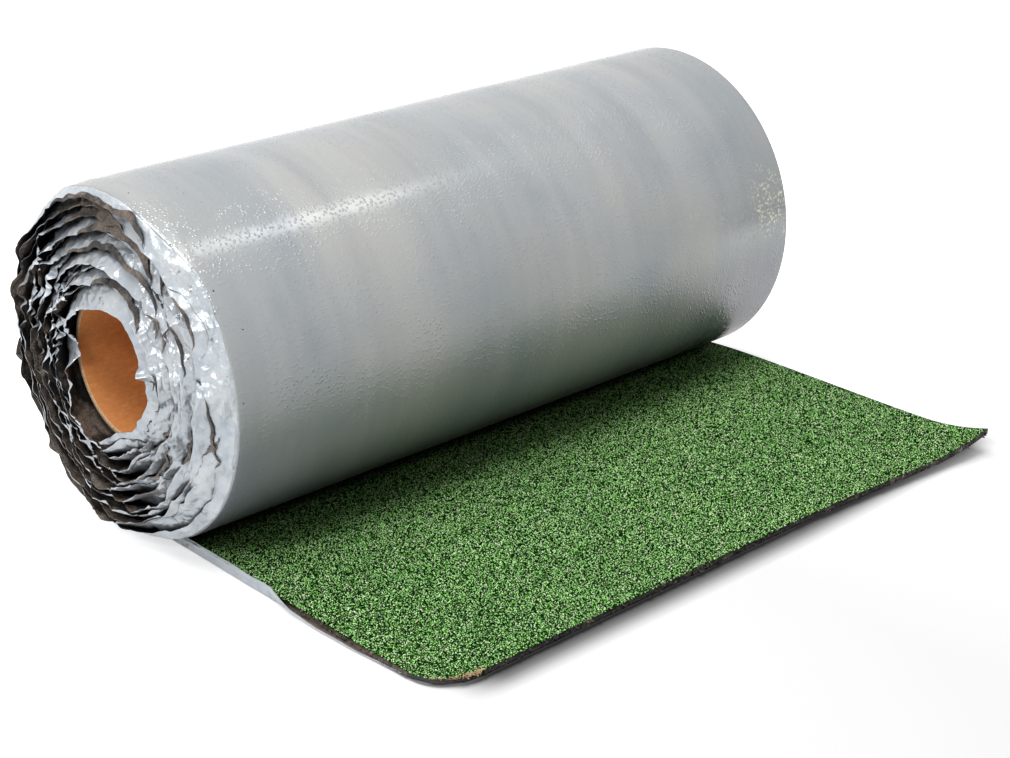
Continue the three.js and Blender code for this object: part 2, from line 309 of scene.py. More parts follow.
def film_looks(tree, place):
    """Silver-grey film over granules: soft mottling, bands round the roll, a pebbled gloss, painted glints
    by the far end and painted shade near other parts.
    """
    axes = tree.axes(place)
    mottling = tree.ramp(tree.noise(place, 13), [
        (0.3, (0.36, 0.385, 0.41)), (0.43, (0.40, 0.42, 0.43)), (0.57, (0.42, 0.435, 0.43)),
        (0.72, (0.44, 0.44, 0.43))])
    bands = tree.ramp(tree.noise(tree.stretched(place, (22, 2.5, 2.5)), 1, 4, 0.6), [
        (0.34, (0.85, 0.875, 0.895)), (0.5, (0.97, 0.975, 0.98)), (0.62, (1.06, 1.055, 1.045))])
    color = tree.multiply(mottling, bands)

    # Pin-pricks of tar.
    pits = tree.cells(place, 210)
    nearness = tree.remap(axes["X"], *PRICKED, 0, 0.085)
    rare = tree.math("POWER", tree.first_channel(pits["Color"]), 3)
    width = tree.math("MULTIPLY", tree.math("MULTIPLY_ADD", rare, nearness, 0.004), 1.8)
    color = tree.mix(color, (0.05, 0.045, 0.04), tree.math("LESS_THAN", pits["Distance"], width))

    # Painted glints: pale yellowish dots in a patch by the far end, standing in for light caught on rough
    # pits.
    away = tree.distance(place, GLINT_PLACE)
    away = tree.math("MULTIPLY_ADD", tree.noise(place, 90), -GLINT_REACH, away)
    glint_patch = tree.ramp(away, [(0, 1), (0.012, 0)])
    dots = tree.ramp(tree.cells(place, 420)["Distance"], [(0.25, 1), (0.55, 0)])
    thick = tree.ramp(tree.noise(place, 120, 2), [(0.42, 0.06), (0.56, 1)])
    painted_glints = tree.multiply(tree.multiply(glint_patch, dots), thick)
    color = tree.mix(color, (0.78, 0.77, 0.58), painted_glints)

    # Painted shade, darkest where other parts are close, above all where the roll meets the loose end, with
    # a purplish tint that takes out part of the green the film reflects from the loose end.
    painted_occlusion_shade = tree.crevices(0.12, [
        (0.1, (0.02, 0.018, 0.02)), (0.24, 0.12), (0.38, (0.36, 0.44, 0.41)), (0.53, (0.73, 0.69, 0.78)),
        (0.72, (1.0, 0.915, 1.02)), (0.87, (1.0, 0.97, 1.01)), (0.97, 1)])
    rough = tree.remap(tree.noise(place, 24), 0, 1, 0.15, 0.24)
    low = tree.remap(axes["Z"], *DULL_HEIGHTS, 0, 0.22, "SMOOTHSTEP")
    near = tree.remap(axes["X"], *DULL_END, shape="SMOOTHSTEP")
    pebbles = tree.ramp(tree.cells(place, 400)["Distance"], [(0.05, 1), (0.42, 0)])
    patches = tree.ramp(tree.noise(place, 38, 3, 0.6), [(0.38, 0.35), (0.62, 1)])
    swell = tree.bump(tree.noise(place, 45, 2), 0.2, 0.001)
    return {
        "Base Color": tree.multiply(color, painted_occlusion_shade), "Roughness": tree.math("MULTIPLY_ADD", low, near, rough),
        "Metallic": 0.3,
        "Normal": tree.bump(tree.multiply(pebbles, patches), 0.6, 0.0005, Normal=swell)}


def leaf_looks(tree, place, crevices):
    """Crumpled film, paler than on the roll, with fine creases and a foil's gloss."""
    color = tree.ramp(tree.noise(place, 60, 4, 0.6), [
        (0.3, (0.46, 0.51, 0.57)), (0.6, (0.57, 0.61, 0.64)), (0.75, (0.65, 0.65, 0.67))])
    smears = tree.ramp(tree.noise(place, 34, 5, 0.7), [
        (0, 1), (0.64, 1), (0.68, (0.55, 0.5, 0.46)), (0.72, (0.22, 0.18, 0.15))])
    # Painted shade in the crevices between the leaves, in the share that crevices gives.
    painted_crevice_shade = tree.crevices(0.009, [(0.17, (0.02, 0.02, 0.025)), (0.46, (0.5, 0.51, 0.53)), (0.7, 1)])
    painted_crevice_shade = tree.mix(WHITE, painted_crevice_shade, crevices)
    broad = tree.creases(place, 55, 0.25, 0.008)
    middle = tree.creases(place, 150, 0.4, 0.003, Normal=broad)
    return {
        "Base Color": tree.multiply(tree.multiply(color, smears), painted_crevice_shade), "Roughness": 0.28,
        "Metallic": 0.25,
        "Normal": tree.creases(place, 380, 0.2, 0.001, Normal=middle)}


def tar_looks(tree, place, rubbed_low):
    """Bitumen: black, with paler brown-grey patches where it is rubbed, more or fewer of them low down."""
    grit = tree.noise(place, 900, 3, 0.7)
    brown = tree.ramp(grit, [
        (0.3, (0.05, 0.038, 0.03)), (0.5, (0.16, 0.125, 0.10)), (0.65, (0.28, 0.235, 0.20)),
        (0.8, (0.42, 0.37, 0.33))])
    black = tree.ramp(grit, [(0.4, (0.006, 0.005, 0.005)), (0.7, (0.05, 0.04, 0.033))])
    low = tree.remap(tree.axes(place)["Z"], *RUBBED_HEIGHTS, 0, rubbed_low)
    patches = tree.math("ADD", tree.noise(place, 42, 4, 0.6), low)
    color = tree.mix(black, brown, tree.ramp(patches, [(0.46, 0), (0.56, 1)]))
    # Painted shade in the crevices.
    painted_crevice_shade = tree.crevices(0.012, [(0.1, 0.02), (0.3, 0.5), (0.55, 1)])
    return {
        "Base Color": tree.multiply(color, painted_crevice_shade), "Roughness": 0.5,
        "Normal": tree.bump(tree.noise(place, 320, 5, 0.65), 0.8, 0.001)}


def nip_shade(tree, place, color):
    """The colour, dark where the roll bears on the loose end."""
    clear = tree.remap(tree.axes(place)["Y"], *NIP)
    return tree.multiply(color, tree.ramp(clear, [(0, 0.03), (0.35, 0.22), (0.7, 0.72), (1, 1)]))


def granule_looks(tree, place):
    """Green felt between its larger granules: finer ones, with black between them."""
    fine = tree.cells(place, 950)
    color = tree.ramp(tree.first_channel(fine["Color"]), GREENS)
    gaps = tree.ramp(fine["Distance"], [(0.2, 1), (0.45, 0)])
    color = tree.mix((0.001, 0.016, 0.0005), color, gaps)
    return {
        "Base Color": nip_shade(tree, place, color), "Roughness": 0.9, "Specular IOR Level": 0.05,
        "Normal": tree.bump(gaps, 0.8, 0.0006)}


def grain_looks(tree, place):
    """Crushed mineral chips, each its own shade of green, with a few dark and a few pale ones."""
    chip = tree.add("NewGeometry").outputs["Random Per Island"]
    tint = tree.ramp(tree.noise(place, 9), [(0.3, (0.92, 0.94, 0.92)), (0.7, (1.05, 1.03, 1.0))])
    color = tree.multiply(tree.ramp(chip, GRAIN_GREENS), tint)
    return {
        "Base Color": nip_shade(tree, place, color), "Roughness": 0.85, "Specular IOR Level": 0.1}


def card_looks(tree, place):
    """Brown kraft board, with faint fibres drawn out along the core."""
    fibres = tree.noise(tree.stretched(place, (70, 140, 140)), 3, 5, 0.7)
    color = tree.ramp(fibres, [
        (0.3, (0.60, 0.215, 0.05)), (0.55, (0.68, 0.27, 0.075)), (0.75, (0.78, 0.36, 0.12))])
    return {"Base Color": color, "Roughness": 0.75, "Normal": tree.bump(fibres, 0.3, 0.0004)}


def rim_looks(tree, place):
    """Cut end of the board, paler than its face."""
    fibres = tree.noise(place, 900, 4, 0.6)
    color = tree.ramp(fibres, [(0.35, (0.55, 0.35, 0.18)), (0.65, (0.86, 0.62, 0.40))])
    return {"Base Color": color, "Roughness": 0.9, "Normal": tree.bump(fibres, 0.6, 0.0006)}


FILM = new_material("silver_film", film_looks)
# Painted crevice shade on the leaves, and none on the film's edge along the loose end.
LEAF = new_material("crumpled_film", leaf_looks, 1.0)
EDGE = new_material("film_edge", leaf_looks, 0.0)
TAR = new_material("bitumen", tar_looks, 0.12)
CUT = new_material("cut_bitumen", tar_looks, -0.1)
GRANULES = new_material("green_mineral", granule_looks)
GRAINS = new_material("green_granules", grain_looks)
CARD = new_material("cardboard", card_looks)
RIM = new_material("cut_board", rim_looks)


# ---- Cardboard core ----

CORE_STEPS = 160
CORE_BEVEL = 0.6 * MM


def make_core():
    near, far = core_low[0], core_high[0]
    inner, b = CORE_RADIUS - CORE_WALL, CORE_BEVEL
    section = np.array([
        (inner, near + b), (inner + b, near), (CORE_RADIUS - b, near), (CORE_RADIUS, near + b),
        (CORE_RADIUS, far - b), (CORE_RADIUS - b, far), (inner + b, far), (inner, far - b)])
    angles = np.arange(CORE_STEPS) * FULL_TURN / CORE_STEPS
    points = on_roll(section[:, 1], section[:, 0], angles[:, None])
    here = np.arange(CORE_STEPS * len(section)).reshape(CORE_STEPS, -1)
    there = np.roll(here, -1, axis=0)
    faces = quads(here, np.roll(here, -1, axis=1), np.roll(there, -1, axis=1), there)
    kinds = np.tile([1, 1, 1, 0, 1, 1, 1, 0], CORE_STEPS)  # 0 for the outside and the bore
    core = add_mesh("core", points, faces, [CARD, RIM], kinds)
    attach(core, "root")
    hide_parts("core_tube")


# ---- Film on the roll and the loose end ----

TAIL_SHARES = np.linspace(1, 0, 60)  # from the cut end to under the axis
WRAP_ANGLES = np.linspace(0, FULL_TURN, 241)[5:]  # the film leaves the floor at the first


def sheet_grid(x, depth, swell=0):
    """The sheet at that depth inside the film's outside, over its length and the x of each column."""
    angles = WRAP_ANGLES[:, None]
    tail_y = TAIL_SHARES[:, None] * tail_front(x)
    tail_x = x + 0 * tail_y
    tail = np.stack([tail_x, tail_y, depth + tail_rise(tail_x, tail_y)], axis=-1)
    contact = np.stack([x, 0 * x + CONTACT_REACH, 0 * x + depth], axis=-1)[None]
    wrap = on_roll(x - slide(angles), spiral_radius(angles) - depth + swell, angles)
    return np.concatenate([tail, contact, wrap])


FILM_COLUMNS = np.concatenate([
    np.linspace(HALF_WIDTH, -HALF_WIDTH + 8 * MM, 44), -HALF_WIDTH + np.array([6, 4.5, 3, 2, 1, 0]) * MM])
SHOULDER_STEPS = 6
LIP_OUT = np.array([0.5, 0.9, 1.1]) * MM
LIP_IN = np.array([0.15, 0.5, 1.1]) * MM
EDGE_ROUNDING = (0.3 * MM, 5 * MM)  # depth and reach
SHOWN_FILM = FILM_THICKNESS * 0.6
FILM_CREASE = 50  # degrees between faces from which their edge is sharp


def film_swell(x, angle):
    """Slow waves of the film on the roll, and its rounding over the felt's near edge."""
    waves = np.sin(21 * x + 3 * angle) * np.sin(2 * angle + 9 * x) + 0.6 * np.sin(47 * x - 5 * angle)
    rounding = np.clip(1 - (x + HALF_WIDTH) / EDGE_ROUNDING[1], 0, 1) ** 2
    return 0.12 * MM * waves - EDGE_ROUNDING[0] * rounding


def film_grid(depth):
    """The film under the loose end and round the roll, out past the felt to the crease of its leaves."""
    angles = WRAP_ANGLES[:, None]
    grid = sheet_grid(FILM_COLUMNS, depth, film_swell(FILM_COLUMNS, angles))
    beyond = shoulder(angles) * np.linspace(0, 1, SHOULDER_STEPS + 1)[1:]
    last = beyond[:, -1:]
    out = np.hstack([beyond, last + LIP_OUT])
    drop = np.hstack([SHOULDER_SLOPE * beyond, SHOULDER_SLOPE * last + LIP_IN])
    radius = spiral_radius(angles) - depth + film_swell(-HALF_WIDTH, angles) - drop
    wrap = on_roll(-HALF_WIDTH - slide(angles) - out, radius, angles)
    # Under the loose end the same columns are drawn up close to the edge.
    column = np.arange(1, out.shape[1] + 1)[None, :, None]
    flat = grid[:len(grid) - len(angles), -1:, :] - column * np.array([0.05 * MM, 0, 0])
    return np.hstack([grid, np.concatenate([flat, wrap])])


def make_film():
    points, faces, kinds = thick_sheet(film_grid(0.0), film_grid(SHOWN_FILM))
    # The film's cut edge in front takes the dark bitumen as painted shade.
    film = add_mesh("film_wrap", points, faces, [FILM, CUT], tar_and_shade_cut(points, faces, kinds))
    film.data.set_sharp_from_angle(angle=math.radians(FILM_CREASE))
    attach(film, "root")
    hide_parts("release_film")


# The film's edge along the loose end, in mm. By the distance in front of the axis: how wide it is past
# the part that lies flat, and the angle at which it stands.
STRIP_PLACES = (-10, 0, 60, 125, 150, 175, 205, 235, 256)
STRIP_HEIGHTS = (6.0, 6.4, 6.8, 6.4, 4.4, 3.2, 2.2, 1.2, 0.3)
STRIP_DEGREES = (91, 91, 92, 88, 40, 24, 20, 26, 40)
STRIP_SPAN = (-6, 254)
STRIP_COLUMNS = 150
STRIP_ROWS = 12
STRIP_ROOT = (-0.8, 0.42)  # out from the felt's edge and up
STRIP_UNDER = 2.6  # width of its part that lies flat
STRIP_HEM = 38  # degrees by which its edge turns over, where it stands
STRIP_THICKNESS = 0.32


def make_strip():
    """The film's edge along the loose end: turned up by the roll, and opened outwards by the cut end."""
    rng = np.random.default_rng(3)
    along = np.linspace(*STRIP_SPAN, STRIP_COLUMNS)
    width = np.interp(along, STRIP_PLACES, STRIP_HEIGHTS) * (1 + 0.06 * knot_line(rng, along + 10, 9))
    lean = np.radians(np.interp(along, STRIP_PLACES, STRIP_DEGREES) + 5 * knot_line(rng, along + 10, 14))
    flat_share = np.clip((90 - np.degrees(lean)) / 60, 0, 1)
    step = (width + STRIP_UNDER) / STRIP_ROWS
    out, up = [STRIP_ROOT[0] + 0 * along], [STRIP_ROOT[1] + 0 * along]
    for share in np.linspace(0, 1, STRIP_ROWS + 1)[1:]:
        turned = lean * smooth(0.2, 0.29 + 0.25 * flat_share, share)
        turned = turned + math.radians(STRIP_HEM) * smooth(0.74, 0.92, share) * (1 - flat_share)
        out.append(out[-1] + step * np.cos(turned))
        up.append(up[-1] + step * np.sin(turned))
    out, up = np.column_stack(out), np.column_stack(up)
    y = -along[:, None] * MM + 0 * out
    worn = np.interp(along, (0, 200, 256), (0, 0, 2.2))[:, None]
    x = -HALF_WIDTH - (out - worn) * MM
    along_out, along_up = np.gradient(out, axis=1), np.gradient(up, axis=1)
    length = np.hypot(along_out, along_up)
    lower = np.stack([x, y, up * MM], axis=-1)
    upper = np.stack([x + STRIP_THICKNESS * MM * along_up / length, y,
                      (up + STRIP_THICKNESS * along_out / length) * MM], axis=-1)
    points, faces, kinds = thick_sheet(lower[::-1], upper[::-1])
    strip = add_mesh("film_strip", points, faces, [EDGE, TAR], np.where(kinds == INSIDE, 1, 0))
    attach(strip, "root")


# ---- Leaves of film ----

LEAF_STEPS = 480  # in a turn
LEAF_PIECES = (("film_leaves_outer", 0, 5), ("film_leaves_middle", 5, 10), ("film_leaves_inner", 10, 14))
BASE_ROWS = 12
HEM_ROWS = 4
LEAF_THICKNESS = 0.3 * MM
LEAF_GAP = 0.5 * MM
LEAF_CREASE = 9  # degrees between facets from which their edge is sharp
LEAF_LENGTH = 21 * MM
MOUTH_LENGTH = 25 * MM
MOUTH_START = 12.2  # turns from the outside
HEM_BEND = 0.45 * MM
# By the angle round the roll: how far the leaves fold in from the axial direction, in degrees.
FOLD = ((0, 20, 45, 75, 100, 130, 150, 170, 190, 215, 240, 270, 300, 330, 345, 360),
        (22, 18, 24, 31, 32, 38, 44, 46, 46, 46, 50, 54, 54, 50, 36, 22))
# The same for the outermost turn, whose tips are the outline at the back.
FIRST_FOLD = ((0, 25, 42, 49, 55, 63, 69, 74, 78, 85, 93, 100, 105, 116, 125, 150, 185, 195, 206, 222, 240,
               270, 300, 330, 345, 360),
              (22, 32, 32, 16, 22, 12, 28, 30, 13, 36, 40, 31, 26, 33, 30, 37, 37, 46, 54, 52, 50, 54, 54,
               50, 36, 22))
# The same for the innermost turns, which close in over the core's end.
MOUTH_FOLD = ((0, 40, 66, 76, 84, 96, 104, 112, 130, 150, 190, 215, 238, 250, 257, 264, 290, 320, 345, 360),
              (24, 22, 42, 46, 80, 80, 48, 44, 50, 62, 62, 72, 78, 70, 40, 72, 80, 72, 56, 24))
# How much the leaves' broad crumples and their narrow pleats vary round the roll.
WILD = ((0, 40, 90, 120, 150, 185, 230, 300, 340, 360),
        (1.2, 0.9, 1.1, 1.3, 0.9, 0.7, 0.9, 1.2, 1.3, 1.2))
PLEATS = ((0, 45, 80, 130, 150, 170, 230, 250, 300, 340, 360),
          (1.0, 1.4, 2.0, 2.2, 1.3, 0.6, 0.8, 1.1, 1.1, 1.4, 1.0))
# How far, in degrees, long stretches of neighbouring leaves part, which leaves dark slits between them.
SLITS = ((0, 205, 225, 290, 325, 360),
         (0, 0, 22, 22, 8, 0))
SLIT_LENGTH = 42
SLIT_SEED = 21
# How much of their length the outermost leaves have, where they start beside the loose end.
START = ((0, 20, 45),
         (0.3, 0.72, 1))
# Turns whose leaves are torn short over part of the roll, with the share of their length that is gone.
SHORT = ((2, 120, 235, 0.5), (5, 125, 240, 0.5), (7, 130, 235, 0.5), (9, 130, 230, 0.45),
         (10, 140, 225, 0.5), (12, 140, 215, 0.45), (1, 15, 60, 0.3), (12, 10, 50, 0.35),
         (11, 15, 52, 0.3), (0, 285, 350, 0.5))
# How wide the leaves' ragged hems are round the roll, and how far they droop inwards.
RAGGED = ((0, 45, 82, 95, 128, 145, 345, 360),
          (0.4, 0.55, 0.6, 1.0, 0.8, 0.2, 0.2, 0.4))
DROOP = ((0, 15, 60, 130, 160, 345, 360),
         (0.6, 1, 1, 1, 0, 0, 0.6))
# Hems folded back outwards, which show the film's tarred side: turn, from and to in degrees, width in mm.
HEMS = ((0, 152, 204, 3.6), (0, 186, 208, 6.5), (1, 149, 194, 4.6), (3, 156, 224, 9.5), (4, 163, 216, 8),
        (6, 150, 228, 4.6), (11, 163, 228, 5.5), (8, 222, 236, 3))
FOLDED_BACK = 162
# Narrow hems between the leaves in front, which show as dark slits.
SLIT_HEMS = ((7, 214, 244, 3.2), (4, 231, 256, 2.4), (11, 254, 285, 3.2), (1, 256, 286, 3.6),
             (4, 279, 298, 2.8), (7, 299, 329, 2.8), (1, 226, 246, 2.4), (0, 262, 290, 2.8),
             (9, 288, 312, 3))


def knot_line(rng, place, spacing):
    """Noise from -1 to 1 along a line, straight between random knots."""
    u = place / spacing
    knots = rng.uniform(-1, 1, int(np.max(u)) + 2)
    return np.interp(u, np.arange(len(knots)), knots)


def facets(rng, u, v, around):
    """Noise from -1 to 1 over a sheet, in flat three-cornered facets with sharp creases, one unit across.

    Much of it comes again after `around` units, so that the folds of one turn lie in those of the next.
    """
    columns, rows = int(np.max(u)) + 2, int(np.max(v)) + 2
    knots = rng.uniform(-1, 1, (columns + 1, rows + 1))
    common = rng.uniform(-1, 1, (around, rows + 1))
    knots = 0.5 * knots + 0.7 * common[np.arange(columns + 1) % around]
    leaning = rng.uniform(0, 1, (columns, rows)) < 0.5
    i, j = np.floor(u).astype(int), np.floor(v).astype(int)
    fu, fv = u - i, v - j
    a, b, c, d = knots[i, j], knots[i + 1, j], knots[i, j + 1], knots[i + 1, j + 1]
    lower = a + (b - a) * fu + (c - a) * fv
    upper = d + (c - d) * (1 - fu) + (b - d) * (1 - fv)
    one_way = np.where(fu + fv < 1, lower, upper)
    left = a + (d - c) * fu + (c - a) * fv
    right = a + (b - a) * fu + (d - b) * fv
    other_way = np.where(fu < fv, left, right)
    return np.where(leaning[i, j], one_way, other_way)


def bow(share):
    """0 at both ends of a stretch and 1 in its middle."""
    return np.sin(math.pi * np.clip(share, 0, 1))


class Ribbon:
    """The ribbon of leaves as it is wound on, by the angle of each of its stations."""

    def __init__(self, rng, angle):
        self.rng = rng
        self.angle = angle
        self.turn = angle / FULL_TURN
        self.degrees = np.degrees(angle) % 360
        self.arc = ROLL_RADIUS * angle - PITCH * angle ** 2 / (2 * FULL_TURN)
        self.first = 1 - smooth(0.97, 1.03, self.turn)
        self.mouth = smooth(MOUTH_START, MOUTH_START + 0.8, self.turn)
        self.wild = self.around(WILD)

    def around(self, table):
        return np.interp(self.degrees, *table)

    def stretch(self, where, start, end):
        """From 0 at the start to 1 at the end, in degrees, of a stretch of that turn."""
        return (self.turn - where - start / 360) * 360 / (end - start)

    def noise(self, spacing, rng=None):
        """Noise from -1 to 1 along the ribbon, with its knots that many mm apart."""
        return knot_line(rng or self.rng, self.arc, spacing * MM)

    def crumple(self, out, around, short):
        """Facets, `around` of them in a turn and `short` mm long, with wandering creases."""
        turn, short = self.turn[:, None], short * MM
        wander = self.noise(35)[:, None]
        u = turn * around + 0.35 * np.sin(out / short * 1.7 + 5 * wander) + 1
        v = out / short + 0.6 * (1 + wander) + 0.25 * np.sin(turn * around * 2.3)
        return facets(self.rng, u, v + 0.3, around)

    def fold(self):
        """How far the leaves fold in, in degrees."""
        fold = self.around(FOLD)
        fold = fold + (self.around(MOUTH_FOLD) - fold) * self.mouth
        fold = fold + (self.around(FIRST_FOLD) - fold) * self.first
        bunch = 9 * self.noise(42) + 5 * self.noise(130) + 5 * self.noise(19)
        fold = fold + self.wild * (1 - 0.6 * self.mouth) * (1 - 0.7 * self.first) * bunch
        parted = self.around(SLITS) * (1 - 0.6 * self.mouth)
        return fold + parted * self.noise(SLIT_LENGTH, np.random.default_rng(SLIT_SEED))

    def length(self):
        length = LEAF_LENGTH + (MOUTH_LENGTH - LEAF_LENGTH) * self.mouth
        length = length * (1 + 0.07 * self.noise(26) + 0.05 * self.wild * self.noise(7))
        for where, start, end, gone in SHORT:
            length = length * (1 - gone * bow(self.stretch(where, start, end)) ** 0.3)
        kept = self.around(START) - 0.75 * shoulder(self.angle) / LEAF_LENGTH
        return np.where(self.turn < 1, length * kept, length)

    def fold_back(self, rng, hems, hem, turned):
        """The hems' widths and how far they turn, with the named ones laid right back on the leaf."""
        for where, start, end, width in hems:
            share = self.stretch(where, start, end)
            inside = (share > 0) & (share < 1)
            middle = bow(share) ** 0.6
            wavy = 1 + 0.22 * self.noise(8, rng)
            hem = np.where(inside, np.maximum(hem, width * MM * middle * wavy), hem)
            turned = np.where(inside, turned + (FOLDED_BACK - turned) * smooth(0, 0.45, middle), turned)
        return hem, turned

    def hems(self):
        """The width of the leaves' hems, and how far they turn, in degrees."""
        hem = np.clip(self.noise(8) + 0.35 * self.noise(3.5) + 0.3, 0, 1)
        ragged = 6.2 * hem * smooth(2.0, 5, self.turn + 1.5 * self.noise(60))
        hem = (0.2 + self.around(RAGGED) * ragged) * MM
        turned = -30 - 30 * self.around(DROOP)
        turned = turned + 25 * self.noise(9)
        hem, turned = self.fold_back(self.rng, HEMS, hem, turned)
        return self.fold_back(np.random.default_rng(SLIT_SEED), SLIT_HEMS, hem, turned)

    def root(self):
        """Where the leaves leave their turns: x and radius."""
        near = -HALF_WIDTH - slide(self.angle)
        first = self.angle < FULL_TURN
        x = np.where(first, near - shoulder(self.angle) + 0.8 * MM, near + 1.2 * MM)
        sunk = np.where(first, 0.8 * MM + shoulder(self.angle) * SHOULDER_SLOPE, 0)
        return x, spiral_radius(self.angle) - sunk

    def leaves(self):
        """Each turn's leaves as if alone: x and radius of their rows, and their hems' widths and angles."""
        fold = self.fold()
        second = 24 * self.wild * (1 - 0.5 * self.first) * self.noise(24)
        second_at = 0.55 + 0.25 * self.noise(31)
        length = self.length()
        hem, turned = self.hems()

        mouth = self.mouth[:, None]
        straight = 1.2 * MM + 4.6 * MM * mouth
        base = (length - hem)[:, None]
        share = np.linspace(0, 1, BASE_ROWS)
        out = base * share
        bend = fold[:, None] * smooth(straight - 0.6 * MM, straight + 2.2 * MM, out)
        bend = bend + (second * (1 - self.mouth))[:, None] * smooth(-0.06, 0.06, share - second_at[:, None])
        bend = np.radians(np.clip(bend, -24, 86))
        middle = (bend[:, 1:] + bend[:, :-1]) / 2
        step = base / (BASE_ROWS - 1)
        x = np.hstack([0 * base, np.cumsum(-step * np.cos(middle), axis=1)])
        radius = np.hstack([0 * base, np.cumsum(-step * np.sin(middle), axis=1)])

        # One stretch of the ninth turn is nearly smooth.
        turn, degrees = self.turn[:, None], self.degrees[:, None]
        dome = smooth(8, 8.1, turn) * (1 - smooth(9, 9.1, turn)) * smooth(125, 135, degrees)
        dome = dome * (1 - smooth(190, 215, degrees))
        broad = 1.25 * self.wild[:, None] * self.crumple(out, 46, 8)
        narrow = 0.85 * self.around(PLEATS)[:, None] * self.crumple(out, 92, 4.6)
        fine = 0.25 * self.crumple(out, 180, 3.2)
        height = (broad + narrow + fine) * MM * (1 - 0.75 * dome) * (1 - 0.45 * mouth)
        height = height * smooth(0, 4 * MM, out)
        root_x, root_radius = self.root()
        x = root_x[:, None] + x - height * np.sin(bend)
        radius = root_radius[:, None] + radius + height * np.cos(bend)
        return x, radius, hem, np.radians(turned)


def add_hem(x, radius, hem, turned):
    """Carries the rows on by a hem, which is turned outwards from the leaf's last direction."""
    tip = np.arctan2(radius[:, -2] - radius[:, -1], x[:, -2] - x[:, -1])
    rows_x, rows_radius = [x[:, -1]], [radius[:, -1]]
    bend_step = np.minimum(HEM_BEND, hem / 4)
    for row in range(HEM_ROWS):
        direction = tip - turned * (0.5 if row == 0 else 1)
        step = bend_step if row == 0 else (hem - bend_step) / (HEM_ROWS - 1)
        rows_x.append(rows_x[-1] - step * np.cos(direction))
        rows_radius.append(rows_radius[-1] - step * np.sin(direction))
    return np.column_stack([x, *rows_x[1:]]), np.column_stack([radius, *rows_radius[1:]])


HULL_STEP = 0.5 * MM
HULL_SLOPE = 3
HULL_X = -HALF_WIDTH - np.arange(96) * HULL_STEP


def leaf_hull(x, radius):
    """Greatest radius of one turn's leaves at each place of HULL_X, nowhere steeper than HULL_SLOPE."""
    hull = np.full((len(x), len(HULL_X)), -1.0)
    for row in range(x.shape[1] - 1):
        ax, bx = x[:, row, None], x[:, row + 1, None]
        ar, br = radius[:, row, None], radius[:, row + 1, None]
        span = np.where(np.abs(bx - ax) < 1e-7, 1e-7, bx - ax)
        share = (HULL_X - ax) / span
        inside = (share >= 0) & (share <= 1)
        hull = np.where(inside, np.maximum(hull, ar + share * (br - ar)), hull)
    hull = np.maximum(hull, np.maximum(np.roll(hull, 1, axis=0), np.roll(hull, -1, axis=0)))
    for n in range(1, len(HULL_X)):
        hull[:, n] = np.maximum(hull[:, n], hull[:, n - 1] - HULL_SLOPE * HULL_STEP)
    return hull


def lift_off(x, radius, hull):
    """Radius raised where it would be inside the hull."""
    place = np.clip((HULL_X[0] - x) / HULL_STEP, 0, len(HULL_X) - 1.001)
    cell = place.astype(int)
    column = np.arange(len(x))[:, None]
    under = hull[column, cell] * (1 - place + cell) + hull[column, cell + 1] * (place - cell)
    return np.maximum(radius, under + LEAF_GAP)


def leaf_rows(rng):
    """The angles of the ribbon of leaves, and x and radius of its rows, each turn resting on the next."""
    angle = np.arange(TURNS * LEAF_STEPS + 1) * FULL_TURN / LEAF_STEPS
    raw_x, raw_radius, hem, turned = Ribbon(rng, angle).leaves()
    x, radius = np.zeros((2, len(angle), BASE_ROWS + HEM_ROWS))
    core_end = core_low[0] - 1.0 * MM
    hull = np.tile(np.where(HULL_X > core_end, CORE_RADIUS + 0.5 * MM, -1.0), (LEAF_STEPS, 1))
    for turn in range(TURNS - 1, -1, -1):
        part = slice(turn * LEAF_STEPS, (turn + 1) * LEAF_STEPS)
        base = lift_off(raw_x[part], raw_radius[part], hull)
        x[part], both = add_hem(raw_x[part], base, hem[part], turned[part])
        radius[part] = lift_off(x[part], both, hull)
        hull = leaf_hull(x[part], radius[part])
    x[-1], radius[-1] = x[-2], radius[-2]
    return angle, x, radius


def make_leaves():
    angle, x, radius = leaf_rows(np.random.default_rng(11))
    along_x, along_radius = np.gradient(x, axis=1), np.gradient(radius, axis=1)
    length = np.maximum(np.hypot(along_x, along_radius), 1e-9)
    outer = on_roll(x, radius, angle[:, None])
    inner = on_roll(x - LEAF_THICKNESS * along_radius / length,
                    radius + LEAF_THICKNESS * along_x / length, angle[:, None])
    for name, first, last in LEAF_PIECES:
        part = slice(first * LEAF_STEPS, last * LEAF_STEPS + 1)
        points, faces, kinds = thick_sheet(outer[part], inner[part])
        leaves = add_mesh(name, points, faces, [LEAF, TAR], np.where(kinds == OUTSIDE, 0, 1))
        leaves.data.set_sharp_from_angle(angle=math.radians(LEAF_CREASE))
        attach(leaves, "root")


# ---- Felt ----

FELT_COLUMNS = 90
TURN_STEPS = 120  # in a turn
TURN_DEPTH = 8 * MM  # how deep the wound turns are made at each end
TURN_BEVEL = 0.5 * MM


def make_felt_sheet():
    columns = np.linspace(HALF_WIDTH, -HALF_WIDTH, FELT_COLUMNS)
    lower = sheet_grid(columns, FILM_STEP)
    upper = sheet_grid(columns, FILM_STEP + FELT_THICKNESS)
    points, faces, kinds = thick_sheet(lower, upper)
    which = np.where(tar_and_shade_cut(points, faces, kinds), 2, np.where(kinds == INSIDE, 1, 0))
    sheet = add_mesh("felt_sheet", points, faces, [TAR, GRANULES, CUT], which)
    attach(sheet, "root")
    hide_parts("felt")


